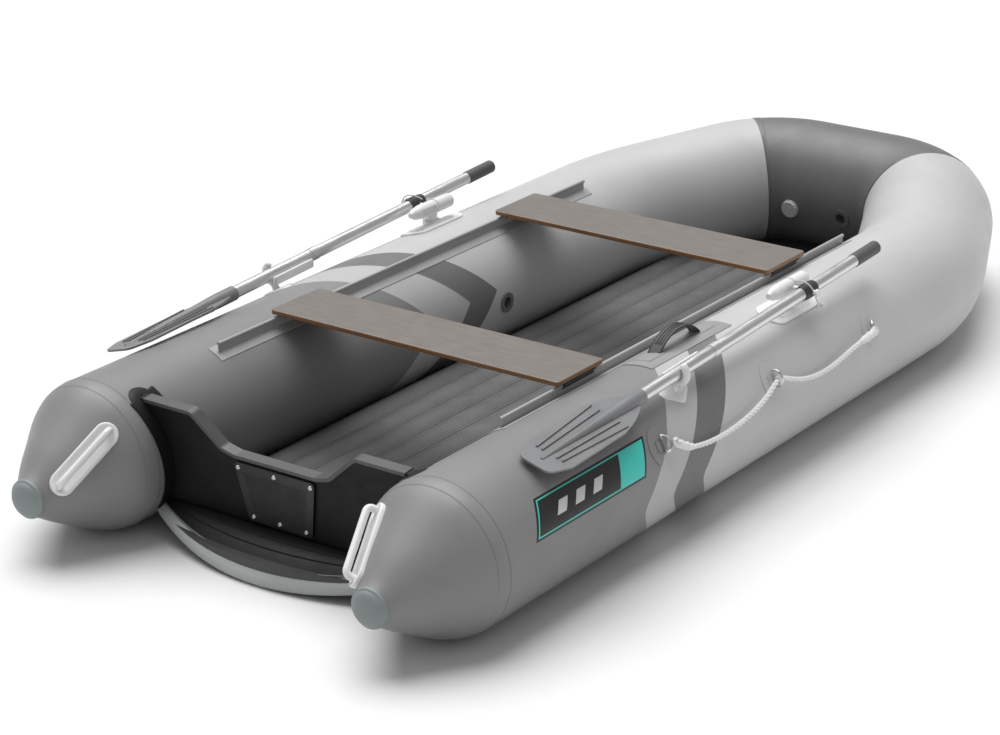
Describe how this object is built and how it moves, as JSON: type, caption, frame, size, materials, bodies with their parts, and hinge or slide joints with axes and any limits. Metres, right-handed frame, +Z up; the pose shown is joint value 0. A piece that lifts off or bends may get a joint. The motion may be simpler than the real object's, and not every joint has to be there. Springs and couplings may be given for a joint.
{
  "type": "inflatable dinghy",
  "caption": "Inflatable rowing and motor dinghy with fabric tubes, plywood transom, sliding bench seats, and stowed oars on swivelling rowlocks.",
  "frame": {"origin": "centre of the footprint, on the surface the boat stands on", "axes": "+Y towards the bow, +X to starboard, +Z up"},
  "size_m": [1.3938, 3.0724, 0.4398],
  "materials": {
    "pvc_mid_grey": "coated fabric, satin",
    "pvc_light_grey": "coated fabric, satin",
    "pvc_dark_grey": "coated fabric, satin",
    "pvc_pale": "coated fabric, satin",
    "grey_green_plastic": "moulded, satin",
    "black_plywood": "painted plywood, satin",
    "brown_plywood": "film-faced plywood",
    "grey_profile": "extruded, satin",
    "black_fabric": "coated fabric",
    "black_plastic": "moulded, textured",
    "screw_steel": "plated",
    "white_plastic": "moulded, satin",
    "webbing": "woven",
    "ring_steel": "bright",
    "blade_plastic": "moulded",
    "oar_aluminium": "polished",
    "black_rubber": "moulded",
    "white_rope": "twisted"
  },
  "bodies": {
    "hull": {"air_bottom": "pvc_dark_grey", "bow_bulkheads": "pvc_dark_grey", "carry_patch": "pvc_mid_grey", "carry_webbing": "webbing", "cone_cap_port": "grey_green_plastic", "cone_cap_starboard": "grey_green_plastic", "floor_mattress": "pvc_dark_grey", "keel_strip": "pvc_pale", "lifeline_port": "white_rope", "lifeline_starboard": "white_rope", "line_rings": "ring_steel", "motor_pad": "black_plastic", "oar_clip_port": "white_plastic", "oar_clip_starboard": "white_plastic", "pad_screws": "screw_steel", "ring_patches": "pvc_mid_grey", "rowlock_base_port": "white_plastic", "rowlock_base_starboard": "white_plastic", "seat_rail_port": "grey_profile", "seat_rail_starboard": "grey_profile", "stern_cone_port": "pvc_mid_grey", "stern_cone_starboard": "pvc_mid_grey", "stern_handle_port": "white_plastic", "stern_handle_starboard": "white_plastic", "transom_board": "black_plywood", "transom_flaps": "black_fabric", "transom_trim": "grey_profile", "tube_aft_port": "pvc_mid_grey", "tube_aft_starboard": "pvc_mid_grey", "tube_bow": "pvc_dark_grey", "tube_fore_port": "pvc_light_grey", "tube_fore_starboard": "pvc_light_grey", "valve_bow_capped": "white_plastic", "valve_bow_open": "white_plastic", "valve_port": "white_plastic", "valve_starboard": "white_plastic"},
    "seat_aft": {"seat_aft": "brown_plywood", "seat_aft_sliders": "black_plastic"},
    "seat_fore": {"seat_fore": "brown_plywood", "seat_fore_sliders": "black_plastic"},
    "plunger_port": {"valve_port_plunger": "white_plastic"},
    "plunger_bow": {"valve_bow_plunger": "white_plastic"},
    "cap_starboard": {"valve_starboard_cap": "white_plastic"},
    "cap_bow": {"valve_bow_cap": "white_plastic"},
    "rowlock_starboard": {"rowlock_swivel_starboard": "white_plastic", "leash_starboard": "white_rope", "leash_knot_starboard": "white_rope"},
    "oar_starboard": {"oar_blade_starboard": "blade_plastic", "oar_shaft_lower_starboard": "oar_aluminium", "oar_shaft_upper_starboard": "oar_aluminium", "oar_sleeve_starboard": "black_rubber", "oar_grip_starboard": "black_rubber"},
    "rowlock_port": {"rowlock_swivel_port": "white_plastic", "leash_port": "white_rope", "leash_knot_port": "white_rope"},
    "oar_port": {"oar_blade_port": "blade_plastic", "oar_shaft_lower_port": "oar_aluminium", "oar_shaft_upper_port": "oar_aluminium", "oar_sleeve_port": "black_rubber", "oar_grip_port": "black_rubber"}
  },
  "joints": [
    {"name": "seat_aft_slide", "type": "slide", "parent": "hull", "child": "seat_aft", "axis": [0, 1, 0], "range_m": [-0.17, 0.6]},
    {"name": "seat_fore_slide", "type": "slide", "parent": "hull", "child": "seat_fore", "axis": [0, 1, 0], "range_m": [-0.02, 0.15]},
    {"name": "rowlock_swing_starboard", "type": "hinge", "parent": "hull", "child": "rowlock_starboard", "pos_m": [0.55, 0.06475, 0.407], "axis": [0, 0, 1], "range_deg": [0, 90]},
    {"name": "oar_tilt_starboard", "type": "hinge", "parent": "rowlock_starboard", "child": "oar_starboard", "pos_m": [0.605, 0.06475, 0.407], "axis": [-1, 0, 0], "range_deg": [0, 10]},
    {"name": "rowlock_swing_port", "type": "hinge", "parent": "hull", "child": "rowlock_port", "pos_m": [-0.55, 0.06475, 0.407], "axis": [0, 0, -1], "range_deg": [0, 90]},
    {"name": "oar_tilt_port", "type": "hinge", "parent": "rowlock_port", "child": "oar_port", "pos_m": [-0.605, 0.06475, 0.407], "axis": [-1, 0, 0], "range_deg": [0, 10]},
    {"name": "plunger_port_push", "type": "slide", "parent": "hull", "child": "plunger_port", "axis": [-1, 0, 0], "range_m": [0, 0.005], "stiffness_N_per_m": 400},
    {"name": "plunger_bow_push", "type": "slide", "parent": "hull", "child": "plunger_bow", "axis": [0, 0.9903, 0.1392], "range_m": [0, 0.005], "stiffness_N_per_m": 400},
    {"name": "cap_starboard_turn", "type": "hinge", "parent": "hull", "child": "cap_starboard", "pos_m": [0.3095, 0.07875, 0.1825], "axis": [-1, 0, 0], "range_deg": [0, 90]},
    {"name": "cap_bow_turn", "type": "hinge", "parent": "hull", "child": "cap_bow", "pos_m": [-0.092, 1.16807, 0.18591], "axis": [0, -0.9903, -0.1392], "range_deg": [0, 90]}
  ]
}
